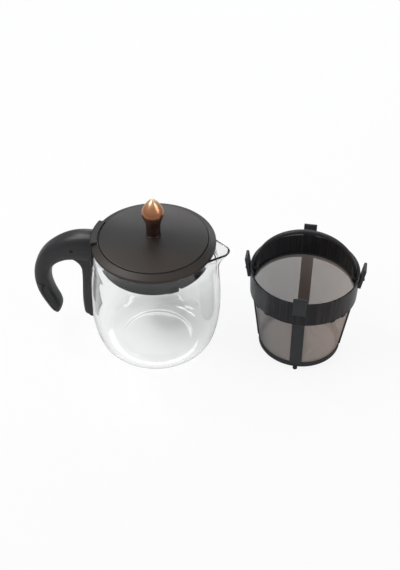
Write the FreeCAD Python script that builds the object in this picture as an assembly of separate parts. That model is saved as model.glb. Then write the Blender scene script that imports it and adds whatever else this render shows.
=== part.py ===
"""Glass brewing jug with a lift-off lid, and its lift-out fine mesh basket with a swinging bail.

Millimetres. The jug stands on z = 0 with its axis on the origin, handle towards -X and spout towards +X.
The basket stands beside it, with its axis at basket_x, basket_y.
"""
import FreeCAD, Part
import math
import os

V = FreeCAD.Vector
Z_AXIS = V(0, 0, 1)
X_AXIS = V(1, 0, 0)
Y_AXIS = V(0, 1, 0)
DIAGONAL = math.sqrt(0.5)

# Overshoot of cutting forms, and how near two measures count as the same
overshoot = 1.0
same = 0.01
same_circle = 0.05

# Glass body
glass_t = 2.4
heel_r = 22.0
heel_centre_r = 38.9
belly_r = 65.0
belly_z = 54.0
lower_belly_arc_r = 150.0
upper_belly_arc_r = 367.0
shoulder_z = 103.0
neck_r = 57.5
neck_z = 117.5
lip_z = 123.6
foot_inner_r = 36.0
punt_r = 33.0
punt_h = 1.3

# Spout, in plan a rounded wedge
spout_tip_r = 74.6
spout_start_z = 94.0
spout_start_tip = 61.0
spout_back_x = 42.0
spout_back_top = 28.0
spout_back_start = 11.0
spout_nose_r = 9.0
spout_sections = 5
spout_bend = 1.9

# Lid
lid_r = 60.0
rim_bottom_z = 124.2
rim_edge_z = 127.1
rim_inner_r = 52.9
rim_inner_z = 130.4
rim_round = 0.5
rim_recess_z = 124.9
rim_recess_r = 58.2
floor_top_z = 128.6
floor_bottom_z = 126.5
floor_step_r = 52.4
groove_gap = 0.2
disc_edge_z = 131.2
disc_crown_z = 135.3
disc_t = 1.8
disc_corner = 0.7
disc_boss_r = 7.0
seal_inner_r = 54.9
seal_outer_r = 57.9
seal_low_z = 123.75

# Ring that hangs from the lid into the neck
skirt_r = 49.4
skirt_t = 1.8
skirt_bottom_z = 101.0
skirt_flange_r = 52.1
skirt_flange_in_r = 45.5
skirt_flange_t = 1.4
skirt_step_half_angle = 48.5
skirt_step_z = 102.4
nick_angle = 50.0
nick_half_angle = 1.5
nick_top_z = 104.6
lug_angle = 57.5
lug_half_angle = 6.0
lug_depth = 0.9
lug_top_z = 106.5
snap_angle = 41.0
snap_half_angle = 1.5
snap_low_z = 108.6
snap_top_z = 111.2
snap_nub_h = 0.9
slot_count = 7
slot_pitch = 11.0
slot_half_angle = 1.9
slot_low_z = 116.5
slot_top_z = 122.5
notch_gap_angle = 0.5
rim_notch_r = 53.9

# Knob and what holds it
knob_tip_z = 176.9
knob_base_r = 7.0
collar_r = 7.4
collar_h = 1.0
collar_bevel = 0.5
screw_r = 2.0
screw_head_r = 4.2
screw_head_h = 2.4
screw_top_z = 152.0
screw_end_gap = 1.0
screw_drive_r = 1.5
screw_drive_depth = 1.4
washer_r = 6.5
washer_t = 0.8
hole_gap = 0.1

# Knob's half section above its base: radius and distance below the tip
knob_profile = [
    (6.9, 36.0), (7.0, 31.0), (7.7, 27.0), (9.2, 22.3), (10.6, 18.2),
    (10.6, 15.4), (9.0, 10.6), (6.4, 6.3), (3.6, 3.0), (1.2, 0.8),
]
foot_rise = V(-0.1, 0, 1)

# Handle
bond_t = 0.6
bracket_half_angle = 17.8
liner_half_angle = 15.0
bracket_hook_r = 54.4
bracket_face_r = 61.5
bracket_top_z = 130.8
bracket_bottom_z = 104.0
bracket_round = 1.8
bracket_end_round = 1.0
lip_clearance = 0.5
grip_width = 24.0
leg_width = 20.0
leg_round = 3.8
leg_root_r = 58.0
leg_top_r = 86.0
leg_top_z = 106.0
seam_gap = 0.8
bracket_screw_y = 8.0
bracket_screw_z = 118.0
bracket_screw_r = 1.6
bracket_screw_head_r = 3.0
bracket_screw_head_h = 1.4
bracket_screw_seat_r = 58.0
bracket_screw_end_r = 78.0
side_screw_r = 1.2
side_screw_head_r = 1.7
side_screw_recess = 0.8
side_screw_head_h = 1.4
side_screw_length = 12.0
side_screw_at_r = 80.0
side_screw_z = 112.0
film_gap = 0.05
liner_low_z = 106.0
liner_top_z = 123.2
bond_low_z = 31.0
bond_top_z = 100.0
bond_half_width = 7.0

# Inner branch of the grip in side view: radius and height from its lower end up into the arm
leg_foot = [(69.6, 27.0), (72.4, 28.4), (73.8, 31.7)]
leg_side = [(73.8, 31.7), (74.4, 42.0), (73.6, 62.0), (72.6, 84.0)]
leg_arch = [(72.6, 84.0), (75.4, 93.6), (82.5, 98.6)]

# Grip sections: radius, height, lean of the section, half thickness, half width
oval_points = 14
oval_power = 2.5
grip_sections = [
    (60.5, 112.2, 90, 17.2, 12.0),
    (73.0, 111.7, 88, 16.7, 12.0),
    (85.0, 109.3, 74, 14.2, 11.9),
    (95.6, 104.1, 60, 11.9, 11.7),
    (105.0, 96.4, 44, 10.2, 11.4),
    (112.0, 86.0, 25, 8.9, 11.2),
    (115.6, 72.8, 8, 8.2, 11.0),
    (115.4, 58.8, -8, 7.6, 11.0),
    (112.0, 46.0, -19, 7.0, 10.9),
    (107.0, 34.6, -27, 6.5, 10.4),
    (104.3, 27.8, -31, 5.3, 9.2),
    (103.2, 23.6, -33, 2.8, 6.8),
]

# Cover on the back of the grip's free branch in side view, with its pointed upper end
spine_outline = [
    (130.0, 69.0), (113.4, 62.2), (115.6, 59.9), (114.9, 52.0), (111.4, 42.0),
    (107.0, 33.0), (104.2, 27.4), (110.0, 18.0), (130.0, 18.0),
]

# Basket
basket_x = 146.0
basket_y = 17.0
foot_h = 2.5
foot_r = 2.3
foot_ring_r = 39.9
basket_h = 98.5
ring_top_r = 53.5
ring_bottom_r = 52.7
ring_h = 27.0
ring_t = 1.8
bump_h = 1.2
bump_angle = 37.5
bump_half_angle = 2.4
bump_depth = 0.3
base_ring_r = 41.6
base_ring_h = 6.6
base_ring_t = 2.6
base_ring_bevel = 1.6
base_mesh_gap = 0.2
foot_root = 1.0
foot_count = 3
foot_turn = -90
ledge_in_r = 36.8
ledge_t = 1.5
mesh_t = 0.5
mesh_low_z = 6.0
mesh_high_z = 75.0
mesh_top_r = 49.8
mesh_bottom_r = 40.6
hoop_in_r = 49.85
hoop_out_r = 50.75
hoop_h = 3.5
hoop_over = 1.5
rib_width = 12.0
rib_t = 1.6
rib_sink = 0.4
tab_width = 13.0
tab_t = 2.9
tab_low_z = 86.0
tab_top_z = 109.0
tab_low_r = 52.3
tab_round = 1.3
tab_lean = 9.6
pocket_gap = 0.5

# Bail
pivot_drop = 6.2
pin_r = 1.5
pin_end_r = 58.2
pin_head_r = 2.3
pin_head_t = 1.0
pin_head_gap = 0.15
pin_run_gap = 0.06
bail_mid_r = 48.6
bail_rise = 2.6
bail_thick = 3.4
bail_wide = 4.6
bail_corner = 1.3
eye_r = 4.0

# Basket heights that follow from the others
pivot_z = basket_h - pivot_drop
ring_low_z = basket_h - ring_h
base_ring_top_z = foot_h + base_ring_h

os.makedirs("parts", exist_ok=True)


def save(name, shape):
    """One sub-part, checked and written under its own name."""
    if not shape.isValid():
        raise ValueError("bad solid: " + name)
    shape.exportStep("parts/" + name + ".step")
    print(name, "solids", len(shape.Solids), "volume", round(shape.Volume, 1))


def polar(radius, degrees, z=0.0):
    """The point at a radius and a plan angle."""
    a = math.radians(degrees)
    return V(radius * math.cos(a), radius * math.sin(a), z)


def lathe(edges):
    """Solid turned about the Z axis from edges drawn in the XZ plane."""
    return Part.Face(Part.Wire(edges)).revolve(V(0, 0, 0), Z_AXIS, 360)


def lathe_points(points):
    """Solid turned about the Z axis from the corners (radius, z) of its half section."""
    corners = [V(r, 0, z) for r, z in points]
    return Part.Face(Part.makePolygon(corners + corners[:1])).revolve(V(0, 0, 0), Z_AXIS, 360)


def arc3(a, b, c):
    """Arc through three points."""
    return Part.Arc(a, b, c).toShape()


def line(a, b):
    """Straight edge."""
    return Part.LineSegment(a, b).toShape()


def spline(points, start=None, end=None):
    """Smooth edge through a few points, with its end directions where they are given."""
    curve = Part.BSplineCurve()
    if start is None:
        curve.interpolate(points)
    else:
        curve.interpolate(Points=points, InitialTangent=start, FinalTangent=end)
    return curve.toShape()


def box(x0, x1, y0, y1, z0, z1):
    """Block between two corners."""
    return Part.makeBox(x1 - x0, y1 - y0, z1 - z0, V(x0, y0, z0))


def sector(r_in, r_out, z0, z1, middle, half_angle):
    """Part of a flat ring about the Z axis, centred on the plan angle middle."""
    ring = Part.makeCylinder(r_out, z1 - z0, V(0, 0, z0), Z_AXIS, 2 * half_angle)
    if r_in > 0:
        ring = ring.cut(Part.makeCylinder(r_in, z1 - z0, V(0, 0, z0)))
    ring.rotate(V(0, 0, 0), Z_AXIS, middle - half_angle)
    return ring


def fillet_where(shape, radius, chosen):
    """Rounds the edges that chosen accepts."""
    return shape.makeFillet(radius, [e for e in shape.Edges if chosen(e)])


def glass_wall(inset):
    """The jug wall's edges from the foot to the lip, moved inwards by inset, and their two ends."""
    low_centre = V(belly_r - lower_belly_arc_r, 0, belly_z)
    high_centre = V(belly_r - upper_belly_arc_r, 0, belly_z)
    heel_centre = V(heel_centre_r, 0, heel_r)
    heel_dir = heel_centre - low_centre
    heel_dir.normalize()

    def along(direction, share):
        """Unit direction between two directions."""
        mixed = direction[0] * (1 - share) + direction[1] * share
        mixed.normalize()
        return mixed

    heel_small = heel_r - inset
    low_big = lower_belly_arc_r - inset
    high_big = upper_belly_arc_r - inset
    rise = shoulder_z - belly_z
    top_dir = V(math.sqrt(upper_belly_arc_r ** 2 - rise ** 2), 0, rise)
    top_dir.normalize()
    foot = heel_centre + V(0, 0, -1) * heel_small
    heel_mid = heel_centre + along((V(0, 0, -1), heel_dir), 0.5) * heel_small
    heel_end = heel_centre + heel_dir * heel_small
    low_mid = low_centre + along((heel_dir, X_AXIS), 0.5) * low_big
    low_end = low_centre + X_AXIS * low_big
    high_mid = high_centre + along((X_AXIS, top_dir), 0.5) * high_big
    high_end = high_centre + top_dir * high_big
    neck = V(neck_r - inset, 0, neck_z)
    lip = V(neck_r - inset, 0, lip_z)
    edges = [
        arc3(foot, heel_mid, heel_end),
        arc3(heel_end, low_mid, low_end),
        arc3(low_end, high_mid, high_end),
        spline([high_end, neck], V(-top_dir.z, 0, top_dir.x), Z_AXIS),
        line(neck, lip),
    ]
    return edges, foot, lip


def jug_envelope(inset):
    """Closed solid bounded by the jug wall moved inwards by inset."""
    edges, foot, lip = glass_wall(inset)
    bottom = V(0, 0, foot.z)
    top = V(0, 0, lip.z)
    return lathe([line(bottom, foot)] + edges + [line(lip, top), line(top, bottom)])


def spout_wedge(inset):
    """Pulled spout as a closed form that widens and reaches out towards the lip."""
    wires = []
    for i in range(spout_sections):
        share = i / (spout_sections - 1)
        z = spout_start_z + share * (lip_z - spout_start_z)
        tip = spout_start_tip + (spout_tip_r - spout_start_tip) * share ** spout_bend - inset
        nose = spout_nose_r - inset
        back = spout_back_start + (spout_back_top - spout_back_start) * share - inset
        centre_x = tip - nose
        reach = math.hypot(centre_x - spout_back_x, back)
        turn = math.atan2(back, spout_back_x - centre_x) - math.acos(nose / reach)
        touch = V(centre_x + nose * math.cos(turn), nose * math.sin(turn), z)
        mirror = V(touch.x, -touch.y, z)
        corner = V(spout_back_x, back, z)
        other = V(spout_back_x, -back, z)
        nose_arc = arc3(mirror, V(tip, 0, z), touch)
        wires.append(Part.Wire([line(other, mirror), nose_arc, line(touch, corner), line(corner, other)]))
    return Part.makeLoft(wires, True, False)


def glass_jug():
    """Blown glass body with its ground foot ring, hollow underside and pulled spout."""
    outside = jug_envelope(0.0).fuse(spout_wedge(0.0))
    inside = jug_envelope(glass_t).fuse(spout_wedge(glass_t))
    low = -overshoot
    raised = glass_t + punt_h
    hollow_foot = lathe_points([
        (0, low), (foot_inner_r + overshoot, low), (foot_inner_r, 0), (punt_r, punt_h), (0, punt_h)])
    kick = lathe_points([
        (0, glass_t + low), (foot_inner_r, glass_t + low), (foot_inner_r, glass_t),
        (punt_r, raised), (0, raised)])
    return outside.cut(inside.cut(kick)).cut(hollow_foot).removeSplitter()


def side_prism(edges, width):
    """Solid from edges drawn in the XZ plane, width wide and centred on the handle's plane."""
    face = Part.Face(Part.Wire(edges))
    solid = face.extrude(V(0, width, 0))
    solid.translate(V(0, -width / 2, 0))
    return solid


def hp(radius, z):
    """A point of the handle's side view, at a radius from the jug's axis."""
    return V(-radius, 0, z)


def oval(centre, lean, thick, wide):
    """Closed rounded section across the grip. lean is its direction, in degrees from -X towards +Z."""
    a = math.radians(lean)
    across = V(-math.cos(a), 0, math.sin(a))
    points = []
    for i in range(oval_points):
        t = 2 * math.pi * i / oval_points
        c, s = math.cos(t), math.sin(t)
        u = math.copysign(abs(c) ** (2 / oval_power), c) * thick
        v = math.copysign(abs(s) ** (2 / oval_power), s) * wide
        points.append(centre + across * u + Y_AXIS * v)
    curve = Part.BSplineCurve()
    curve.interpolate(Points=points, PeriodicFlag=True)
    return Part.Wire([curve.toShape()])


def grip_arm():
    """Upper arm and free outer branch of the grip, lofted through rounded sections."""
    wires = [oval(hp(r, z), lean, thick, wide) for r, z, lean, thick, wide in grip_sections]
    return Part.makeLoft(wires, True, False)


def grip_leg():
    """Inner branch along the glass, with the arch under the arm."""
    foot = [hp(r, z) for r, z in leg_foot]
    side = [hp(r, z) for r, z in leg_side]
    arch = [hp(r, z) for r, z in leg_arch]
    root_low = hp(leg_root_r, foot[0].z)
    root_high = hp(leg_root_r, leg_top_z)
    crown = hp(leg_top_r, leg_top_z)
    rounded = [arc3(*foot), spline(side, foot_rise, Z_AXIS), arc3(*arch)]
    root = [line(arch[2], crown), line(crown, root_high), line(root_high, root_low)]
    solid = side_prism([line(root_low, foot[0])] + rounded + root, leg_width)
    return fillet_where(solid, leg_round, lambda e: any(is_side_edge(e, o, leg_width) for o in rounded))


def is_side_edge(edge, source, width):
    """True for an edge of a prism's flat sides that repeats an edge of its outline."""
    on_side = abs(abs(edge.CenterOfMass.y) - width / 2) < same
    return on_side and abs(edge.Length - source.Length) < same


def spine_block(grow):
    """Block across the handle with the back cover's outline. grow enlarges it for the seam."""
    corners = [hp(r, z) for r, z in spine_outline]
    face = Part.Face(Part.makePolygon(corners + corners[:1]))
    if grow > 0:
        mitred = 2
        face = Part.Face(face.makeOffset2D(grow, mitred).Wires[0])
    block = face.extrude(V(0, 2 * grip_width, 0))
    block.translate(V(0, -grip_width, 0))
    return block


def largest(shape):
    """The biggest solid of a shape."""
    return max(shape.Solids, key=lambda item: item.Volume)


def bracket_screw(y, gap):
    """One screw along -X with its flat head in the bracket. gap enlarges it to its hole."""
    seat = V(-bracket_screw_seat_r, y, bracket_screw_z)
    into_grip = bracket_screw_end_r - bracket_screw_seat_r
    shank = Part.makeCylinder(bracket_screw_r + gap, into_grip + gap, seat, -X_AXIS)
    head = Part.makeCylinder(bracket_screw_head_r + gap, bracket_screw_head_h + gap, seat, -X_AXIS)
    return shank.fuse(head)


def side_screw(gap):
    """Cross screw of the grip, entering from the front side. gap enlarges it to its hole."""
    start = V(-side_screw_at_r, -grip_width / 2 + side_screw_recess, side_screw_z)
    head = Part.makeCylinder(side_screw_head_r + gap, side_screw_head_h + gap, start, Y_AXIS)
    return head.fuse(Part.makeCylinder(side_screw_r + gap, side_screw_length + gap, start, Y_AXIS))


def bracket_block():
    """Block that hugs the neck, with rounded outer top edge and rounded ends."""
    start = V(bracket_hook_r, 0, bracket_bottom_z)
    outer = V(bracket_face_r, 0, bracket_bottom_z)
    shoulder = V(bracket_face_r, 0, bracket_top_z - bracket_round)
    corner = V(bracket_face_r - bracket_round, 0, bracket_top_z - bracket_round)
    middle = corner + V(DIAGONAL, 0, DIAGONAL) * bracket_round
    top = V(corner.x, 0, bracket_top_z)
    inner = V(bracket_hook_r, 0, bracket_top_z)
    rising = [line(start, outer), line(outer, shoulder), arc3(shoulder, middle, top)]
    profile = Part.Wire(rising + [line(top, inner), line(inner, start)])
    block = Part.Face(profile).revolve(V(0, 0, 0), Z_AXIS, 2 * bracket_half_angle)
    block.rotate(V(0, 0, 0), Z_AXIS, 180 - bracket_half_angle)
    return fillet_where(block, bracket_end_round, is_bracket_end)


def is_bracket_end(edge):
    """True for the outer, rounded and top edges of the bracket's two ends."""
    ends = [vertex.Point for vertex in edge.Vertexes]
    turns = [abs(math.degrees(math.atan2(p.y, -p.x))) for p in ends]
    at_end = all(abs(turn - bracket_half_angle) < same for turn in turns)
    one_end = ends[0].y * ends[-1].y > 0
    inside = all(abs(math.hypot(p.x, p.y) - bracket_hook_r) < same for p in ends)
    low = all(abs(p.z - bracket_bottom_z) < same for p in ends)
    return at_end and one_end and not inside and not low


def handle_parts():
    """Bracket, grip, its back cover, the screws and the bonding layers."""
    glass_clear = jug_envelope(-bond_t)
    over_lip = Part.makeCylinder(neck_r + bond_t, 2 * lip_clearance, V(0, 0, lip_z - lip_clearance))
    bracket = bracket_block().cut(glass_clear).cut(over_lip)
    behind_bracket = Part.makeCylinder(bracket_face_r, lid_r, V(0, 0, bracket_bottom_z))
    grip = grip_arm().fuse(grip_leg()).cut(glass_clear).cut(behind_bracket)
    spine = largest(grip.common(spine_block(0.0)))
    grip = largest(grip.cut(spine_block(seam_gap)))
    entry = V(-side_screw_at_r, -grip_width, side_screw_z)
    entry_depth = grip_width / 2 + side_screw_recess
    grip = grip.cut(Part.makeCylinder(side_screw_head_r + hole_gap, entry_depth, entry, Y_AXIS))
    grip = grip.cut(side_screw(hole_gap))
    screws = []
    for y in (-bracket_screw_y, bracket_screw_y):
        hole = bracket_screw(y, hole_gap)
        mouth = V(-bracket_hook_r, y, bracket_screw_z)
        depth = bracket_screw_seat_r - bracket_hook_r
        access = Part.makeCylinder(bracket_screw_head_r + hole_gap, depth, mouth, -X_AXIS)
        bracket = bracket.cut(hole).cut(access)
        grip = grip.cut(hole)
        screws.append(bracket_screw(y, 0.0))
    skin = jug_envelope(-bond_t + film_gap).cut(jug_envelope(-film_gap))
    behind = sector(bracket_hook_r, bracket_face_r, liner_low_z, liner_top_z, 180, liner_half_angle)
    liner = skin.common(behind)
    bond = skin.common(box(-leg_top_r, 0, -bond_half_width, bond_half_width, bond_low_z, bond_top_z))
    save("handle_bracket", bracket)
    save("grip_body", grip)
    save("grip_spine", spine)
    save("grip_screw", side_screw(0.0))
    save("bracket_screws", Part.makeCompound(screws))
    save("bracket_liner", liner)
    save("leg_bond_strip", bond)


def bracket_notch():
    """The space that the lid leaves round the bracket."""
    half_angle = bracket_half_angle + notch_gap_angle
    return sector(rim_notch_r, 2 * lid_r, skirt_bottom_z, knob_tip_z, 180, half_angle)


def lid_rim():
    """Flange ring with a sloping top, floor and recess for the seal, notched round the bracket."""
    hole = screw_r + hole_gap
    rim = lathe_points([
        (hole, floor_bottom_z), (floor_step_r, floor_bottom_z), (floor_step_r, rim_recess_z),
        (rim_recess_r, rim_recess_z), (rim_recess_r, rim_bottom_z), (lid_r, rim_bottom_z),
        (lid_r, rim_edge_z), (rim_inner_r, rim_inner_z), (rim_inner_r, floor_top_z), (hole, floor_top_z)])
    edges = [(lid_r, rim_edge_z), (rim_inner_r, rim_inner_z)]
    rim = fillet_where(rim, rim_round, lambda e: any(is_circle(e, r, z) for r, z in edges))
    return rim.cut(bracket_notch())


def is_circle(edge, radius, z):
    """True for a round edge of this radius at this height."""
    centred = abs(edge.CenterOfMass.z - z) < same
    return centred and abs(edge.Length - 2 * math.pi * radius) < same_circle


def lid_disc():
    """Low domed cover that fills the rim, with a boss for the knob."""
    edge_r = rim_inner_r - groove_gap
    base_z = floor_top_z + film_gap
    shoulder = edge_r - disc_corner
    side_z = disc_edge_z - disc_corner
    corner = V(shoulder, 0, side_z) + V(DIAGONAL, 0, DIAGONAL) * disc_corner
    rise = disc_crown_z - disc_edge_z

    def dome(r, drop):
        """Point of the dome at a radius, or of its underside at a drop."""
        return V(r, 0, disc_edge_z + rise * (1 - (r / shoulder) ** 2) - drop)

    hole = screw_r + hole_gap
    wall = edge_r - disc_t
    edges = [
        line(V(hole, 0, base_z), dome(hole, 0)),
        arc3(dome(hole, 0), dome(shoulder / 2, 0), dome(shoulder, 0)),
        arc3(dome(shoulder, 0), corner, V(edge_r, 0, side_z)),
        line(V(edge_r, 0, side_z), V(edge_r, 0, base_z)),
        line(V(edge_r, 0, base_z), V(wall, 0, base_z)),
        line(V(wall, 0, base_z), dome(wall, disc_t)),
        arc3(dome(wall, disc_t), dome(wall / 2, disc_t), dome(disc_boss_r, disc_t)),
        line(dome(disc_boss_r, disc_t), V(disc_boss_r, 0, base_z)),
        line(V(disc_boss_r, 0, base_z), V(hole, 0, base_z)),
    ]
    return lathe(edges)


def lid_skirt():
    """Ring that hangs into the neck, shorter towards the spout, with nicks, lugs, snap holes and slots."""
    inner = skirt_r - skirt_t
    inside = inner - overshoot
    past = skirt_r + overshoot
    low = skirt_bottom_z - overshoot
    top = floor_bottom_z - film_gap
    flange_z = top - skirt_flange_t
    lug_r = skirt_r + lug_depth
    nub_z = snap_top_z + snap_nub_h
    skirt = lathe_points([
        (inner, skirt_bottom_z), (skirt_r, skirt_bottom_z), (skirt_r, flange_z), (skirt_flange_r, flange_z),
        (skirt_flange_r, top), (skirt_flange_in_r, top), (skirt_flange_in_r, flange_z), (inner, flange_z)])
    skirt = skirt.cut(sector(0, past, low, skirt_step_z, 0, skirt_step_half_angle))
    for i in range(slot_count):
        middle = (i - (slot_count - 1) / 2) * slot_pitch
        skirt = skirt.cut(sector(inside, past, slot_low_z, slot_top_z, middle, slot_half_angle))
    for side in (-1, 1):
        skirt = skirt.fuse(sector(inner, lug_r, skirt_bottom_z, lug_top_z, side * lug_angle, lug_half_angle))
        skirt = skirt.fuse(sector(inner, lug_r, snap_top_z, nub_z, side * snap_angle, snap_half_angle))
        skirt = skirt.cut(sector(inside, past, snap_low_z, snap_top_z, side * snap_angle, snap_half_angle))
        skirt = skirt.cut(sector(inside, past, low, nick_top_z, side * nick_angle, nick_half_angle))
    return skirt.removeSplitter()


def knob_form(base_z):
    """Bud-shaped knob on its base, before its screw hole."""
    start = V(knob_base_r, 0, base_z)
    tip = V(0, 0, knob_tip_z)
    foot = V(0, 0, base_z)
    bud = [start] + [V(r, 0, knob_tip_z - drop) for r, drop in knob_profile] + [tip]
    return lathe([line(foot, start), spline(bud, foot_rise, -X_AXIS), line(tip, foot)])


def lid_parts():
    """Everything that lifts off with the lid."""
    hole = screw_r + hole_gap
    seal_top = rim_recess_z - film_gap
    seal = lathe_points([
        (seal_inner_r, seal_low_z), (seal_outer_r, seal_low_z),
        (seal_outer_r, seal_top), (seal_inner_r, seal_top)])
    collar_low = disc_crown_z + film_gap
    collar_top = collar_low + collar_h
    collar = lathe_points([
        (hole, collar_low), (collar_r, collar_low), (collar_r, collar_top - collar_bevel),
        (collar_r - collar_bevel, collar_top), (hole, collar_top)])
    knob_hole_h = screw_top_z + screw_end_gap - collar_top
    knob = knob_form(collar_top).cut(Part.makeCylinder(hole, knob_hole_h, V(0, 0, collar_top)))
    washer_top = floor_bottom_z - film_gap
    washer_low = washer_top - washer_t
    head_low = washer_low - screw_head_h
    washer = lathe_points([
        (hole, washer_low), (washer_r, washer_low), (washer_r, washer_top), (hole, washer_top)])
    screw = Part.makeCylinder(screw_r, screw_top_z - washer_low, V(0, 0, washer_low))
    screw = screw.fuse(Part.makeCylinder(screw_head_r, screw_head_h, V(0, 0, head_low)))
    drive = Part.makeCylinder(screw_drive_r, screw_drive_depth, V(0, 0, head_low))
    save("lid_rim", lid_rim())
    save("lid_disc", lid_disc())
    save("lid_skirt", lid_skirt())
    save("lid_seal", seal.cut(bracket_notch()))
    save("knob", knob)
    save("knob_collar", collar)
    save("knob_washer", washer)
    save("knob_screw", screw.cut(drive))


def mesh_radius(z):
    """Outer radius of the basket's mesh wall at a height."""
    share = (z - mesh_low_z) / (mesh_high_z - mesh_low_z)
    return mesh_bottom_r + share * (mesh_top_r - mesh_bottom_r)


def cone_shell(low_z, high_z, grow, thick):
    """Conical wall along the mesh, grown outwards by grow and thick inwards."""
    a, b = mesh_radius(low_z) + grow, mesh_radius(high_z) + grow
    return lathe_points([(a - thick, low_z), (a, low_z), (b, high_z), (b - thick, high_z)])


def place(shape):
    """Moves a basket piece from the origin to where the basket stands."""
    moved = shape.copy()
    moved.translate(V(basket_x, basket_y, 0))
    return moved


def hook_tab(degrees, side_gap):
    """One leaning tab with a rounded top, at a plan angle."""
    half = tab_width / 2 + side_gap
    length = tab_top_z - tab_low_z
    plate = box(0, tab_t, -half, half, 0, length)
    if side_gap == 0:
        plate = fillet_where(plate, tab_round, lambda e: is_top_edge(e, length))
    plate.rotate(V(0, 0, 0), Y_AXIS, tab_lean)
    plate.translate(V(tab_low_r, 0, tab_low_z))
    plate.rotate(V(0, 0, 0), Z_AXIS, degrees)
    return plate


def is_top_edge(edge, top):
    """True for the long edges along the top of a tab that is centred on the X axis."""
    middle = edge.CenterOfMass
    return abs(middle.z - top) < same and abs(middle.y) < same


def pivot_bore():
    """Bore along X through the ring and tabs for both pins."""
    return Part.makeCylinder(pin_r + film_gap, 2 * pin_end_r, V(-pin_end_r, 0, pivot_z), X_AXIS)


def basket_ring():
    """Upper ring with four pockets for the tabs, pivot holes and snap bumps on its lower edge."""
    ring_in_r = ring_bottom_r - ring_t
    bump_r = ring_bottom_r + bump_depth
    ring = lathe_points([
        (ring_in_r, ring_low_z), (ring_bottom_r, ring_low_z),
        (ring_top_r, basket_h), (ring_top_r - ring_t, basket_h)])
    for quarter in range(4):
        ring = ring.cut(hook_tab(90 * quarter, pocket_gap))
        for side in (-1, 1):
            middle = 90 * quarter + side * bump_angle
            ring = ring.fuse(sector(
                ring_in_r, bump_r, ring_low_z - bump_h, ring_low_z + bump_h, middle, bump_half_angle))
    return ring.cut(pivot_bore())


def mesh_frame():
    """Moulded frame of the mesh: hoop, four ribs, bottom ring with its ledge, and feet."""
    hoop_low = mesh_high_z - hoop_h
    hoop_top = mesh_high_z + hoop_over
    hoop = lathe_points([
        (hoop_in_r, hoop_low), (hoop_out_r, hoop_low), (hoop_out_r, hoop_top), (hoop_in_r, hoop_top)])
    band_in_r = base_ring_r - base_ring_t
    ledge_z = foot_h + ledge_t
    band = lathe_points([
        (ledge_in_r, foot_h), (base_ring_r - base_ring_bevel, foot_h),
        (base_ring_r, foot_h + base_ring_bevel), (base_ring_r, base_ring_top_z),
        (band_in_r, base_ring_top_z), (band_in_r, ledge_z), (ledge_in_r, ledge_z)])
    half = rib_width / 2
    span = ring_top_r
    cross = box(-span, span, -half, half, 0, basket_h).fuse(box(-half, half, -span, span, 0, basket_h))
    ribs = cone_shell(base_ring_top_z - rib_sink, mesh_high_z, rib_t, rib_t).common(cross)
    under_ring = ring_low_z - rib_sink
    ribs = ribs.cut(lathe_points([
        (hoop_out_r, under_ring), (span, under_ring), (span, basket_h), (hoop_out_r, basket_h)]))
    frame = hoop.fuse(band).fuse(ribs)
    for i in range(foot_count):
        at = polar(foot_ring_r, foot_turn + 360 * i / foot_count)
        frame = frame.fuse(Part.makeCylinder(foot_r, foot_h + foot_root, at))
    return frame.removeSplitter()


def rounded_slab(thick, wide, corner):
    """Rounded rectangle in the XY plane, centred on the origin."""
    x, y = thick / 2, wide / 2
    k = corner * (1 - DIAGONAL)
    edges = [
        line(V(-x + corner, -y, 0), V(x - corner, -y, 0)),
        arc3(V(x - corner, -y, 0), V(x - k, -y + k, 0), V(x, -y + corner, 0)),
        line(V(x, -y + corner, 0), V(x, y - corner, 0)),
        arc3(V(x, y - corner, 0), V(x - k, y - k, 0), V(x - corner, y, 0)),
        line(V(x - corner, y, 0), V(-x + corner, y, 0)),
        arc3(V(-x + corner, y, 0), V(-x + k, y - k, 0), V(-x, y - corner, 0)),
        line(V(-x, y - corner, 0), V(-x, -y + corner, 0)),
        arc3(V(-x, -y + corner, 0), V(-x + k, -y + k, 0), V(-x + corner, -y, 0)),
    ]
    return Part.Face(Part.Wire(edges))


def bail_hoop():
    """Half-round bail with a straight leg and a round eye at each end."""
    centre = V(0, 0, pivot_z + bail_rise)
    section = rounded_slab(bail_thick, bail_wide, bail_corner)
    section.translate(V(bail_mid_r, 0, centre.z))
    hoop = section.revolve(centre, -Y_AXIS, 180)
    for side in (-1, 1):
        leg = rounded_slab(bail_thick, bail_wide, bail_corner)
        leg.translate(V(side * bail_mid_r, 0, pivot_z))
        eye = Part.makeCylinder(eye_r, bail_thick, V(side * bail_mid_r - bail_thick / 2, 0, pivot_z), X_AXIS)
        hoop = hoop.fuse(leg.extrude(V(0, 0, bail_rise))).fuse(eye)
    hole = Part.makeCylinder(pin_r + pin_run_gap, 4 * bail_mid_r, V(-2 * bail_mid_r, 0, pivot_z), X_AXIS)
    return hoop.cut(hole).removeSplitter()


def bail_pins():
    """The two pivot pins, each with a small head inside the bail's eye."""
    head_end = bail_mid_r - bail_thick / 2 - pin_head_gap
    pins = []
    for side in (-1, 1):
        out = V(side, 0, 0)
        start = V(side * (head_end - pin_head_t), 0, pivot_z)
        pin = Part.makeCylinder(pin_r, pin_end_r - head_end + pin_head_t, start, out)
        pins.append(pin.fuse(Part.makeCylinder(pin_head_r, pin_head_t, start, out)))
    return Part.makeCompound(pins)


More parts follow.
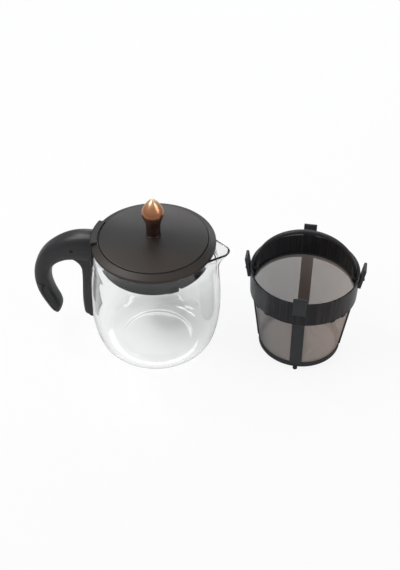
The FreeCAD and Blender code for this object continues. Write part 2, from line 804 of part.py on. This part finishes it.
def basket_parts():
    """The basket, built on the origin and moved to where it stands."""
    bore = pivot_bore()
    tabs = Part.makeCompound([hook_tab(90 * i, 0).cut(bore) for i in range(4)])
    wall = cone_shell(base_ring_top_z + film_gap, mesh_high_z, 0.0, mesh_t)
    disc_r = base_ring_r - base_ring_t - base_mesh_gap
    disc = Part.makeCylinder(disc_r, mesh_t, V(0, 0, foot_h + ledge_t + film_gap))
    save("basket_ring", place(basket_ring()))
    save("hook_tabs", place(tabs))
    save("mesh_frame", place(mesh_frame()))
    save("side_mesh", place(wall))
    save("base_mesh", place(disc))
    save("bail_pins", place(bail_pins()))
    save("bail_hoop", place(bail_hoop()))


save("glass_jug", glass_jug())
handle_parts()
lid_parts()
basket_parts()
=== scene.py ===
"""Looks of the glass brewing jug and its lift-out mesh basket. Metres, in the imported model's frame."""

import bpy
import math
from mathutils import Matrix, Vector


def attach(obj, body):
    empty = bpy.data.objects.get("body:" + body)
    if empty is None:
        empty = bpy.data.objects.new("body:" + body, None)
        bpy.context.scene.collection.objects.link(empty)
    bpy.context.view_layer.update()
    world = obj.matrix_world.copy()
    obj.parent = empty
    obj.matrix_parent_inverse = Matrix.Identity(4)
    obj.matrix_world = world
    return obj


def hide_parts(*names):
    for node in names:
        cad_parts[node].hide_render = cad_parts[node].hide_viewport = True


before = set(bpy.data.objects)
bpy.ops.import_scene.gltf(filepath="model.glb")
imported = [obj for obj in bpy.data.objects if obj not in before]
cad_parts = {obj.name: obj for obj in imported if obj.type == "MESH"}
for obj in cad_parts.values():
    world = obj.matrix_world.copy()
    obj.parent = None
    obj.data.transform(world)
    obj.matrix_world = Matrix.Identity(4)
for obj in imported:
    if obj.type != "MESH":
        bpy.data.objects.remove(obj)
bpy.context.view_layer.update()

MM = 0.001

# Jug wall, millimetres, as in the CAD part
GLASS_T = 2.4
HEEL_R = 22.0
HEEL_CENTRE_R = 38.9
BELLY_R = 65.0
BELLY_Z = 54.0
LOWER_ARC_R = 150.0
UPPER_ARC_R = 367.0
SHOULDER_Z = 103.0
NECK_R = 57.5
NECK_Z = 117.5
NECK_EASE = 5.3
LIP_Z = 123.6
LIP_HOLD = 3.2

# Spout, millimetres, as in the CAD part
SPOUT_START_Z = 94.0
SPOUT_START_TIP = 61.0
SPOUT_TIP_R = 74.6
SPOUT_NOSE_R = 9.0
SPOUT_BACK_X = 42.0
SPOUT_BACK_START = 11.0
SPOUT_BACK_TOP = 28.0
SPOUT_BEND = 1.9

# How the spout flows out of the wall, millimetres: width of the blend, share of the wall's radius
# that the spout has to pass, and the height where the blend comes in and the run over which it grows
BLEND_WIDTH = 3.2
BLEND_SHARE = 0.75
BLEND_START_Z = 60.0
BLEND_RUN = 30.0

# Foot and floor of the jug as radius and height, millimetres
HOLLOW_RADII = (4.0, 14.0, 24.0, 32.0)
HOLLOW_Z = 1.3
FOOT_RING = ((33.4, 1.15), (35.6, 0.25), (36.2, 0.0))
FLOOR_Z = 3.7
FLOOR_STEP = ((36.4, 2.4), (35.6, 2.65), (33.4, 3.55))

# Counts of points
JUG_SIDES = 320
HEEL_STEPS = 16
LOWER_STEPS = 8
UPPER_STEPS = 14
NECK_STEPS = 8
LIP_STEPS = 8
SIDE_SIDES = 192
BASE_SIDES = 96

# Basket: its place, and the half width of its ring, in metres
BASKET = Vector((0.146, 0.017, 0.0))
RING_R = 0.050

# Woven sheets, millimetres
MESH_LOW_R = 40.6
MESH_LOW_Z = 6.0
MESH_TOP_R = 49.8
MESH_TOP_Z = 75.0
SIDE_LOW_Z = 9.2
SIDE_STEP = 11.0
SIDE_STEPS = 5
SIDE_INSET = 0.25
BASE_Z = 4.3
BASE_RADII = (0.0, 4.0, 16.0, 28.0, 38.7)

# Weave: mean radius and pitch in metres, the sine at a wire's edge, and how solid the gaps look
MESH_MEAN_R = 0.045
WIRE_PITCH = 0.00055
WIRE_EDGE = 0.62
OPEN_ALPHA = 0.4

# Heights of the knob and half depth of the lid's painted sheen, metres
KNOB_FOOT_Z = 0.1365
KNOB_TIP_Z = 0.1769
LID_SHEEN_Y = 0.05

# Range that a noise mostly covers
NOISE_LOW = 0.3
NOISE_HIGH = 0.7

# Floor, metres: centre of the painted shadow under the jug that the glass shows, the radii between which
# it fades, the floor's half width, and its depth below the feet
JUG_SHADOW_CENTRE = (0.006, 0.034)
SHADOW_FADE_START = 0.015
SHADOW_FADE_END = 0.074
FLOOR_REACH = 4.0
FLOOR_DROP = 0.0002

# Share and strength of the floor's own glow where it is seen, and how far it is dimmed in mirrored light
GLOW_SHARE = 0.88
GLOW_STRENGTH = 0.995
MIRROR_SHARE = 0.75

# World light: soft in the room, near white where it is seen
ROOM_COLOUR = (0.96, 0.97, 1.0, 1.0)
ROOM_STRENGTH = 0.38
SEEN_COLOUR = (1.0, 1.0, 1.0, 1.0)
SEEN_STRENGTH = 0.98

# Camera at the photo's viewing angle: place in metres, angles in degrees, lens and sensor in millimetres
CAMERA_PLACE = (0.16818, -0.72845, 0.72941)
CAMERA_DOWN = 41.46
CAMERA_TURN = 9.597
CAMERA_LENS = 63.0
CAMERA_SENSOR = 36.0


# Node helpers
class Shader:
    """A material under construction: its node tree with short calls for the nodes used here."""

    def __init__(self, name):
        self.material = bpy.data.materials.new(name)
        self.material.use_nodes = True
        self.tree = self.material.node_tree
        self.body = self.tree.nodes["Principled BSDF"]
        self.output = self.tree.nodes["Material Output"]

    def node(self, kind, **settings):
        made = self.tree.nodes.new(kind)
        for key, value in settings.items():
            setattr(made, key, value)
        return made

    def link(self, source, target):
        self.tree.links.new(source, target)

    def place(self, source, target):
        """Puts a number, colour or another node's output into an input."""
        if isinstance(source, bpy.types.NodeSocket):
            self.link(source, target)
        else:
            target.default_value = source

    def math(self, operation, a, b=0.0, clamp=False):
        made = self.node("ShaderNodeMath", operation=operation, use_clamp=clamp)
        self.place(a, made.inputs[0])
        self.place(b, made.inputs[1])
        return made.outputs[0]

    def point(self):
        """The surface point in metres, in the object's own coordinates."""
        return self.node("ShaderNodeTexCoord").outputs["Object"]

    def axes(self):
        """The surface point's three coordinates."""
        split = self.node("ShaderNodeSeparateXYZ")
        self.link(self.point(), split.inputs[0])
        return split.outputs

    def noise(self, scale, detail=2.0, roughness=0.5, stretch=None):
        texture = self.node("ShaderNodeTexNoise")
        texture.inputs["Scale"].default_value = scale
        texture.inputs["Detail"].default_value = detail
        texture.inputs["Roughness"].default_value = roughness
        source = self.point()
        if stretch is not None:
            mapping = self.node("ShaderNodeMapping")
            mapping.inputs["Scale"].default_value = stretch
            self.link(source, mapping.inputs["Vector"])
            source = mapping.outputs[0]
        self.link(source, texture.inputs["Vector"])
        return texture.outputs["Fac"]

    def ramp(self, factor, stops):
        """Colour ramp; stops is a list of (position, colour)."""
        made = self.node("ShaderNodeValToRGB")
        line = made.color_ramp
        while len(line.elements) < len(stops):
            line.elements.new(0.5)
        for element, (position, colour) in zip(line.elements, stops):
            element.position = position
            element.color = (*colour, 1.0)
        self.link(factor, made.inputs[0])
        return made.outputs["Color"]

    def spread(self, factor, low, high, out_low=0.0, out_high=1.0):
        """Stretches a value from one range to another and holds it at the ends."""
        made = self.node("ShaderNodeMapRange")
        limits = {"From Min": low, "From Max": high, "To Min": out_low, "To Max": out_high}
        for name, value in limits.items():
            made.inputs[name].default_value = value
        self.link(factor, made.inputs["Value"])
        return made.outputs[0]

    def tones(self, noise, dark, light):
        """Colour that a noise moves between two tones."""
        return self.ramp(noise, [(NOISE_LOW, dark), (NOISE_HIGH, light)])

    def between(self, noise, low, high):
        """Value that a noise moves between two limits."""
        return self.spread(noise, NOISE_LOW, NOISE_HIGH, low, high)

    def blend(self, factor, first, second):
        """Mix of two colours."""
        mix = self.node("ShaderNodeMix", data_type="RGBA")
        self.link(factor, mix.inputs["Factor"])
        self.link(first, mix.inputs["A"])
        self.link(second, mix.inputs["B"])
        return mix.outputs["Result"]

    def bump(self, height, strength, distance):
        made = self.node("ShaderNodeBump")
        made.inputs["Strength"].default_value = strength
        made.inputs["Distance"].default_value = distance
        self.link(height, made.inputs["Height"])
        self.link(made.outputs[0], self.body.inputs["Normal"])

    def set(self, **values):
        """Fills inputs of the main surface; an underscore stands for a space in the input's name."""
        for key, value in values.items():
            self.place(value, self.body.inputs[key.replace("_", " ")])

    def share_surface(self, factor, second):
        """Lets a second surface show in place of the main one where the factor says so."""
        mix = self.node("ShaderNodeMixShader")
        self.link(factor, mix.inputs[0])
        self.link(self.body.outputs[0], mix.inputs[1])
        self.link(second, mix.inputs[2])
        self.link(mix.outputs[0], self.output.inputs["Surface"])


def grey(level):
    return (level, level, level)


# Materials
def plastic(name, dark, light, roughness, grain, grain_depth, ior):
    """Moulded plastic: slow change of tone, fine grain in the surface and in the sheen."""
    sheen_change = 0.05
    s = Shader(name)
    slow = s.noise(scale=22.0, detail=3.0)
    fine = s.noise(scale=grain, roughness=0.6)
    s.set(Base_Color=s.tones(slow, dark, light), IOR=ior)
    s.set(Roughness=s.between(fine, roughness - sheen_change, roughness + sheen_change))
    s.bump(fine, strength=0.35, distance=grain_depth)
    return s.material


def gloss_ring(name):
    """Glossy black ring with faint upright flow streaks, warmer to one side."""
    s = Shader(name)
    streaks = s.noise(scale=1.0, detail=3.0, roughness=0.55, stretch=(420.0, 420.0, 12.0))
    side = s.spread(s.axes()[0], BASKET.x - RING_R, BASKET.x + RING_R)
    cool = s.ramp(streaks, [(0.35, (0.009, 0.011, 0.016)), (0.75, (0.015, 0.018, 0.024))])
    warm = s.ramp(streaks, [(0.42, (0.014, 0.012, 0.012)), (0.68, (0.040, 0.033, 0.029))])
    s.set(Base_Color=s.blend(side, cool, warm), IOR=1.34)
    s.set(Roughness=s.spread(streaks, 0.3, 0.75, out_low=0.16, out_high=0.26))
    s.bump(s.noise(scale=260.0), strength=0.12, distance=0.00015)
    return s.material


def gloss_skirt(name):
    """Glossy navy black of the lid's ring in the neck."""
    s = Shader(name)
    slow = s.noise(scale=40.0)
    s.set(Base_Color=s.tones(slow, dark=(0.003, 0.004, 0.006), light=(0.005, 0.006, 0.009)), IOR=1.18)
    s.set(Roughness=s.between(slow, 0.20, 0.26))
    return s.material


def lid_plastic_painted_sheen(name):
    """Satin black with a painted reflection: brownest at the front and plainest past the middle, with a
    very fine grain.
    """
    s = Shader(name)
    # painted reflection: the colour runs from a painted warm reflection at the front, through plain black
    # past the middle, to a painted sheen at the rear
    depth = s.spread(s.axes()[1], -LID_SHEEN_Y, LID_SHEEN_Y)
    front_warm_reflection = (0.042, 0.034, 0.029)
    middle = (0.010, 0.0095, 0.0095)
    rear_sheen = (0.022, 0.016, 0.014)
    s.set(Base_Color=s.ramp(depth, [(0.0, front_warm_reflection), (0.55, middle), (1.0, rear_sheen)]), IOR=1.36)
    s.set(Roughness=s.between(s.noise(scale=30.0, detail=3.0), 0.36, 0.42))
    s.bump(s.noise(scale=5200.0, roughness=0.6), strength=0.25, distance=0.00005)
    return s.material


def copper(name):
    """Copper-coloured lacquer with painted light: a painted highlight towards the tip, and smoothly darker
    towards its foot as a painted reflection of the dark lid.
    """
    s = Shader(name)
    height = s.spread(s.axes()[2], KNOB_FOOT_Z, KNOB_TIP_Z)
    # painted light: the foot, stem and neck tones are a painted reflection of the black lid, and the
    # shoulder and tip tones are a painted highlight
    foot, stem_lid_reflection = (0.100, 0.060, 0.052), (0.130, 0.066, 0.054)
    neck, belly = (0.170, 0.074, 0.050), (0.38, 0.155, 0.082)
    shoulder_highlight, tip = (0.72, 0.33, 0.160), (1.0, 0.74, 0.46)
    stops = [(0.0, foot), (0.12, stem_lid_reflection), (0.38, neck), (0.60, belly), (0.82, shoulder_highlight), (1.0, tip)]
    s.set(Base_Color=s.ramp(height, stops), Metallic=0.85)
    s.set(Roughness=s.between(s.noise(scale=90.0), 0.25, 0.29))
    s.set(Coat_Weight=0.35, Coat_Roughness=0.12)
    return s.material


def collar_lid_reflection(name):
    """Dull copper of the ring under the knob, darkened as a painted reflection of the dark lid."""
    s = Shader(name)
    slow = s.noise(scale=300.0)
    # painted reflection: the collar's dark tones stand in for the black lid mirrored in the copper
    s.set(Base_Color=s.tones(slow, dark=(0.045, 0.026, 0.022), light=(0.060, 0.034, 0.028)), Metallic=0.6)
    s.set(Roughness=s.between(slow, 0.36, 0.44))
    return s.material


def steel(name):
    """Bare steel with fine level marks."""
    s = Shader(name)
    fine = s.noise(scale=1.0, stretch=(900.0, 900.0, 4000.0))
    s.set(Base_Color=s.tones(fine, dark=grey(0.42), light=grey(0.56)), Metallic=1.0)
    s.set(Roughness=s.between(fine, 0.24, 0.36))
    return s.material


def silicone(name):
    """Milky see-through rubber."""
    s = Shader(name)
    slow = s.noise(scale=60.0)
    s.set(Base_Color=s.tones(slow, dark=grey(0.62), light=grey(0.72)), IOR=1.41)
    s.set(Roughness=s.between(slow, 0.42, 0.52))
    s.set(Transmission_Weight=0.55)
    return s.material


def clear_glass(name):
    """Clear blown glass with a trace of unevenness. Lamps shine through it."""
    s = Shader(name)
    s.set(Base_Color=(0.985, 0.99, 0.99, 1.0), IOR=1.47, Roughness=0.0, Transmission_Weight=1.0)
    s.bump(s.noise(scale=26.0), strength=0.05, distance=0.002)
    shadow = s.node("ShaderNodeBsdfTransparent")
    shadow.inputs["Color"].default_value = (0.93, 0.94, 0.94, 1.0)
    path = s.node("ShaderNodeLightPath")
    s.share_surface(path.outputs["Is Shadow Ray"], shadow.outputs[0])
    return s.material


def woven(name, flat):
    """Fine woven wire, round in section and partly see-through between the wires."""
    s = Shader(name)
    axes = s.axes()
    if flat:
        across, along = axes[0], axes[1]
    else:
        offset_x = s.math("SUBTRACT", axes[0], BASKET.x)
        offset_y = s.math("SUBTRACT", axes[1], BASKET.y)
        turn = s.math("ARCTAN2", offset_y, offset_x)
        across, along = s.math("MULTIPLY", turn, MESH_MEAN_R), axes[2]
    wires = [s.math("ABSOLUTE", s.math("SINE", s.math("MULTIPLY", place, math.pi / WIRE_PITCH)))
             for place in (across, along)]
    nearest = s.math("MINIMUM", *wires)
    solid = s.math("LESS_THAN", nearest, WIRE_EDGE)
    slow = s.noise(scale=35.0, detail=3.0)
    side = s.spread(axes[0], BASKET.x - MESH_MEAN_R, BASKET.x + MESH_MEAN_R)
    warmth = s.math("ADD", s.math("MULTIPLY", side, 0.8), s.math("MULTIPLY", slow, 0.2))
    cool, warm = (0.26, 0.25, 0.245), (0.40, 0.31, 0.265)
    s.set(Base_Color=s.ramp(warmth, [(0.1, cool), (0.9, warm)]), Metallic=0.25)
    s.set(Roughness=s.between(slow, 0.38, 0.5))
    s.set(Alpha=s.spread(solid, 0.0, 1.0, out_low=OPEN_ALPHA))
    s.bump(s.math("SUBTRACT", 1.0, nearest), strength=0.5, distance=0.0001)
    return s.material


looks = {
    "satin_black": plastic("satin_black", dark=grey(0.013), light=grey(0.019),
                           roughness=0.42, grain=3800.0, grain_depth=0.00006, ior=1.38),
    "grip_black": plastic("grip_black", dark=(0.015, 0.0155, 0.017), light=(0.023, 0.0235, 0.025),
                          roughness=0.36, grain=2600.0, grain_depth=0.0001, ior=1.48),
    "frame_black": plastic("frame_black", dark=(0.020, 0.022, 0.025), light=(0.030, 0.033, 0.037),
                           roughness=0.40, grain=3000.0, grain_depth=0.00008, ior=1.40),
    "lid_black": lid_plastic_painted_sheen("lid_black"),
    "gloss_black": gloss_skirt("gloss_black"),
    "ring_black": gloss_ring("ring_black"),
    "copper": copper("copper"),
    "collar_lid_reflection": collar_lid_reflection("collar_lid_reflection"),
    "steel": steel("steel"),
    "silicone": silicone("silicone"),
    "clear_glass": clear_glass("clear_glass"),
    "side_weave": woven("side_weave", flat=False),
    "base_weave": woven("base_weave", flat=True),
}
nodes_with = {
    "satin_black": ("handle_bracket", "grip_screw", "bail_pins", "bail_hoop"),
    "grip_black": ("grip_body", "grip_spine"),
    "frame_black": ("mesh_frame", "hook_tabs"),
    "lid_black": ("lid_rim", "lid_disc"),
    "gloss_black": ("lid_skirt",),
    "ring_black": ("basket_ring",),
    "copper": ("knob",),
    "collar_lid_reflection": ("knob_collar",),
    "steel": ("bracket_screws", "knob_washer", "knob_screw"),
    "silicone": ("bracket_liner", "leg_bond_strip", "lid_seal"),
}
for look, nodes in nodes_with.items():
    for node in nodes:
        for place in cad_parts[node].material_slots:
            place.material = looks[look]


# Mesh helpers
def grid_object(name, rings, closed_ends, material):
    """Smooth object from rings of points, each ring closed round the axis. Ends are capped where asked."""
    count = len(rings[0])
    last = (len(rings) - 1) * count
    verts = [point for ring in rings for point in ring]
    faces = []
    for start in range(0, last, count):
        for i in range(count):
            j = (i + 1) % count
            faces.append((start + i, start + j, start + count + j, start + count + i))
    if closed_ends:
        middle = len(verts)
        for ring in (rings[0], rings[-1]):
            verts.append(tuple(sum(point[k] for point in ring) / count for k in range(3)))
        for i in range(count):
            j = (i + 1) % count
            faces.append((middle, j, i))
            faces.append((middle + 1, last + i, last + j))
    mesh = bpy.data.meshes.new(name)
    mesh.from_pydata(verts, [], faces)
    mesh.materials.append(material)
    mesh.update()
    mesh.shade_smooth()
    made = bpy.data.objects.new(name, mesh)
    bpy.context.scene.collection.objects.link(made)
    return made


# Glass jug
def arc_points(centre, radius, start, end, count):
    """Points on an arc between two angles in degrees, both ends included."""
    points = []
    for i in range(count + 1):
        a = math.radians(start + (end - start) * i / count)
        points.append((centre[0] + radius * math.cos(a), centre[1] + radius * math.sin(a)))
    return points


def bezier_points(a, b, c, d, count):
    """Points on a cubic curve, both ends included."""
    points = []
    for i in range(count + 1):
        t = i / count
        weights = ((1 - t) ** 3, 3 * t * (1 - t) ** 2, 3 * t * t * (1 - t), t ** 3)
        points.append(tuple(sum(w * p[k] for w, p in zip(weights, (a, b, c, d))) for k in range(2)))
    return points


def wall_points(inset):
    """The jug wall's half section from the foot to the top of the neck, moved inwards by inset."""
    low_centre = (BELLY_R - LOWER_ARC_R, BELLY_Z)
    high_centre = (BELLY_R - UPPER_ARC_R, BELLY_Z)
    heel_angle = math.degrees(math.atan2(HEEL_R - BELLY_Z, HEEL_CENTRE_R - low_centre[0]))
    top_angle = math.degrees(math.asin((SHOULDER_Z - BELLY_Z) / UPPER_ARC_R))
    heel = arc_points((HEEL_CENTRE_R, HEEL_R), HEEL_R - inset, -90, heel_angle, HEEL_STEPS)
    low = arc_points(low_centre, LOWER_ARC_R - inset, heel_angle, 0, LOWER_STEPS)[1:]
    high = arc_points(high_centre, UPPER_ARC_R - inset, 0, top_angle, UPPER_STEPS)[1:]
    end = high[-1]
    slope = math.radians(top_angle)
    leaving = (end[0] - NECK_EASE * math.sin(slope), end[1] + NECK_EASE * math.cos(slope))
    arriving = (NECK_R - inset, NECK_Z - NECK_EASE)
    neck = bezier_points(end, leaving, arriving, (NECK_R - inset, NECK_Z), NECK_STEPS)[1:]
    return heel + low + high + neck


def spout_reach(angle, z, inset):
    """Distance from the axis to the spout's outline at a plan angle, or 0 where it has none.

    In plan, the outline is a round nose with a straight flank on each side, back to a corner in the neck.
    """
    share = max(0.0, (z - SPOUT_START_Z) / (LIP_Z - SPOUT_START_Z))
    drop = max(0.0, SPOUT_START_Z - z)
    tip = SPOUT_START_TIP + (SPOUT_TIP_R - SPOUT_START_TIP) * share ** SPOUT_BEND - inset - drop
    nose = SPOUT_NOSE_R - inset
    back = SPOUT_BACK_START + (SPOUT_BACK_TOP - SPOUT_BACK_START) * share - inset
    centre = tip - nose
    reach = math.hypot(centre - SPOUT_BACK_X, back)
    turn = math.atan2(back, SPOUT_BACK_X - centre) - math.acos(min(1.0, nose / reach))
    touch = (centre + nose * math.cos(turn), nose * math.sin(turn))
    a = abs(angle)
    if a > math.atan2(back, SPOUT_BACK_X):
        return 0.0
    if a <= math.atan2(touch[1], touch[0]):
        return centre * math.cos(a) + math.sqrt(max(0.0, nose ** 2 - (centre * math.sin(a)) ** 2))
    run = (SPOUT_BACK_X - touch[0], back - touch[1])
    across = math.cos(a) * run[1] - math.sin(a) * run[0]
    return (touch[0] * run[1] - touch[1] * run[0]) / across


def soft_max(a, b):
    """The larger of two values, with a smooth change from one to the other."""
    return 0.5 * (a + b + math.sqrt((a - b) ** 2 + BLEND_WIDTH ** 2))


def jug_radius(r, z, angle, inset):
    """Wall radius with the spout flowing out of it."""
    spout = spout_reach(angle, z, inset)
    if spout <= BLEND_SHARE * r:
        return r
    growth = soft_max(r, spout) - soft_max(r, BLEND_SHARE * r)
    fade = max(0.0, min(1.0, (z - BLEND_START_Z) / BLEND_RUN))
    return r + fade * max(0.0, growth)


def jug_levels():
    """Radius, height, inset and whether the spout takes part, for each ring of the jug's surface.

    They run from the middle of the foot up outside, over the lip and down inside to the floor's middle.
    """
    half = GLASS_T / 2
    inner_r = NECK_R - GLASS_T
    levels = [(r, HOLLOW_Z, 0.0, False) for r in HOLLOW_RADII]
    levels += [(r, z, 0.0, False) for r, z in FOOT_RING]
    levels += [(r, z, 0.0, True) for r, z in wall_points(0.0)]
    levels += [(NECK_R, z, 0.0, True) for z in (LIP_Z - LIP_HOLD, LIP_Z - half)]
    for i in range(1, LIP_STEPS):
        a = math.pi * i / LIP_STEPS
        shift = half * (1 - math.cos(a))
        levels.append((NECK_R - shift, LIP_Z - half + half * math.sin(a), shift, True))
    levels += [(inner_r, z, GLASS_T, True) for z in (LIP_Z - half, LIP_Z - LIP_HOLD)]
    levels += [(r, z, GLASS_T, True) for r, z in reversed(wall_points(GLASS_T))]
    levels += [(r, z, 0.0, False) for r, z in FLOOR_STEP]
    levels += [(r, FLOOR_Z, 0.0, False) for r in reversed(HOLLOW_RADII)]
    return levels


def jug_rings():
    """Rings of points of the jug's surface, in metres."""
    rings = []
    for r, z, inset, with_spout in jug_levels():
        ring = []
        for i in range(JUG_SIDES):
            angle = 2 * math.pi * i / JUG_SIDES
            signed = (angle + math.pi) % (2 * math.pi) - math.pi
            radius = jug_radius(r, z, signed, inset) if with_spout else r
            ring.append((radius * math.cos(angle) * MM, radius * math.sin(angle) * MM, z * MM))
        rings.append(ring)
    return rings


jug = grid_object("blown_glass_jug", jug_rings(), closed_ends=True, material=looks["clear_glass"])
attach(jug, "jug")
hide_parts("glass_jug")


# Woven walls
def basket_circle(radius, z, count):
    """Points of a level circle round the basket's axis; sizes in millimetres, points in metres."""
    points = []
    for i in range(count):
        a = 2 * math.pi * i / count
        points.append((BASKET.x + radius * math.cos(a) * MM, BASKET.y + radius * math.sin(a) * MM, z * MM))
    return points


def mesh_radius(z):
    """Outer radius of the mesh wall at a height, millimetres."""
    return MESH_LOW_R + (z - MESH_LOW_Z) / (MESH_TOP_Z - MESH_LOW_Z) * (MESH_TOP_R - MESH_LOW_R)


def side_weave():
    """One sheet of wire, a little inside the mesh wall's outer face."""
    heights = [SIDE_LOW_Z] + [MESH_TOP_Z - SIDE_STEP * i for i in range(SIDE_STEPS, -1, -1)]
    rings = [basket_circle(mesh_radius(z) - SIDE_INSET, z, SIDE_SIDES) for z in heights]
    return grid_object("woven_side", rings, closed_ends=False, material=looks["side_weave"])


def base_weave():
    """Flat sheet on the bottom ring's ledge."""
    rings = [basket_circle(radius, BASE_Z, BASE_SIDES) for radius in BASE_RADII]
    return grid_object("woven_base", rings, closed_ends=False, material=looks["base_weave"])


for sheet, node in ((side_weave(), "side_mesh"), (base_weave(), "base_mesh")):
    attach(sheet, "basket")
    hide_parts(node)


# Stage, light, camera
def floor_shader():
    """White floor that keeps a soft shadow.

    It is greyer in mirrored light, and where it is seen through the glass under the jug it shows a painted
    shadow.
    """
    s = Shader("studio_floor")
    s.set(Roughness=0.9, Specular_IOR_Level=0.1)
    glow = s.node("ShaderNodeEmission")
    glow.inputs["Strength"].default_value = GLOW_STRENGTH
    path = s.node("ShaderNodeLightPath").outputs
    axes = s.axes()
    offsets = [s.math("SUBTRACT", axes[k], JUG_SHADOW_CENTRE[k]) for k in range(2)]
    away = s.math("SQRT", s.math("ADD", *(s.math("MULTIPLY", offset, offset) for offset in offsets)))
    clear = s.spread(away, SHADOW_FADE_START, SHADOW_FADE_END)
    # painted shadow: seen through the glass, the floor turns grey towards the point under the jug
    near = s.math("MULTIPLY", path["Is Transmission Ray"], s.math("SUBTRACT", 1.0, clear))
    open_glass = s.math("MULTIPLY", path["Is Transmission Ray"], clear)
    seen = s.math("MULTIPLY", s.math("ADD", path["Is Camera Ray"], open_glass, clamp=True), GLOW_SHARE)
    mirrored = s.math("MULTIPLY", path["Is Glossy Ray"], MIRROR_SHARE)
    painted_shadow_and_mirror_grey = s.math("MAXIMUM", near, mirrored)
    s.set(Base_Color=s.ramp(painted_shadow_and_mirror_grey, [(0.0, grey(0.86)), (1.0, (0.44, 0.437, 0.435))]))
    s.share_surface(seen, glow.outputs[0])
    return s.material


floor_mesh = bpy.data.meshes.new("studio_floor")
corners = [(x * FLOOR_REACH, y * FLOOR_REACH, 0.0) for x, y in ((-1, -1), (1, -1), (1, 1), (-1, 1))]
floor_mesh.from_pydata(corners, [], [(0, 1, 2, 3)])
floor_mesh.materials.append(floor_shader())
floor = bpy.data.objects.new("studio_floor", floor_mesh)
floor.location.z = -FLOOR_DROP
bpy.context.scene.collection.objects.link(floor)


def soft_box(name, position, target, width, height, power, colour=(1.0, 1.0, 1.0)):
    """Rectangular lamp at a point, turned towards another."""
    light = bpy.data.lights.new(name, "AREA")
    light.shape = "RECTANGLE"
    light.size = width
    light.size_y = height
    light.energy = power
    light.color = colour
    lamp = bpy.data.objects.new(name, light)
    lamp.location = position
    aim = Vector(target) - Vector(position)
    lamp.rotation_euler = aim.to_track_quat("-Z", "Y").to_euler()
    bpy.context.scene.collection.objects.link(lamp)


soft_box("key", position=(-0.55, -0.25, 1.0), target=(0.0, 0.0, 0.05),
         width=0.7, height=0.7, power=6.0, colour=(1.0, 0.985, 0.96))
soft_box("back", position=(0.05, 1.15, 0.62), target=(0.04, 0.0, 0.08),
         width=1.3, height=0.5, power=6.0, colour=(0.96, 0.97, 1.0))
soft_box("side", position=(1.0, -0.2, 0.7), target=(0.08, 0.0, 0.05),
         width=0.5, height=0.8, power=3.2, colour=(1.0, 0.99, 0.97))
soft_box("window", position=(-0.42, 0.25, 0.85), target=(0.0, 0.0, 0.02),
         width=0.07, height=0.34, power=1.6)


def studio_world():
    """Soft light from all round, and near white where the world is seen, also through the glass."""
    world = bpy.data.worlds.new("studio")
    world.use_nodes = True
    tree = world.node_tree
    room = tree.nodes["Background"]
    room.inputs["Color"].default_value = ROOM_COLOUR
    room.inputs["Strength"].default_value = ROOM_STRENGTH
    white = tree.nodes.new("ShaderNodeBackground")
    white.inputs["Color"].default_value = SEEN_COLOUR
    white.inputs["Strength"].default_value = SEEN_STRENGTH
    path = tree.nodes.new("ShaderNodeLightPath")
    either = tree.nodes.new("ShaderNodeMath")
    either.operation = "MAXIMUM"
    tree.links.new(path.outputs["Is Camera Ray"], either.inputs[0])
    tree.links.new(path.outputs["Is Transmission Ray"], either.inputs[1])
    mixed = tree.nodes.new("ShaderNodeMixShader")
    tree.links.new(either.outputs[0], mixed.inputs[0])
    tree.links.new(room.outputs[0], mixed.inputs[1])
    tree.links.new(white.outputs[0], mixed.inputs[2])
    tree.links.new(mixed.outputs[0], tree.nodes["World Output"].inputs["Surface"])
    return world


bpy.context.scene.world = studio_world()

camera_data = bpy.data.cameras.new("camera")
camera_data.lens = CAMERA_LENS
camera_data.sensor_width = CAMERA_SENSOR
camera = bpy.data.objects.new("camera", camera_data)
camera.location = CAMERA_PLACE
camera.rotation_euler = (math.radians(90.0 - CAMERA_DOWN), 0.0, math.radians(CAMERA_TURN))
bpy.context.scene.collection.objects.link(camera)
bpy.context.scene.camera = camera
bpy.context.scene.view_settings.view_transform = "Standard"
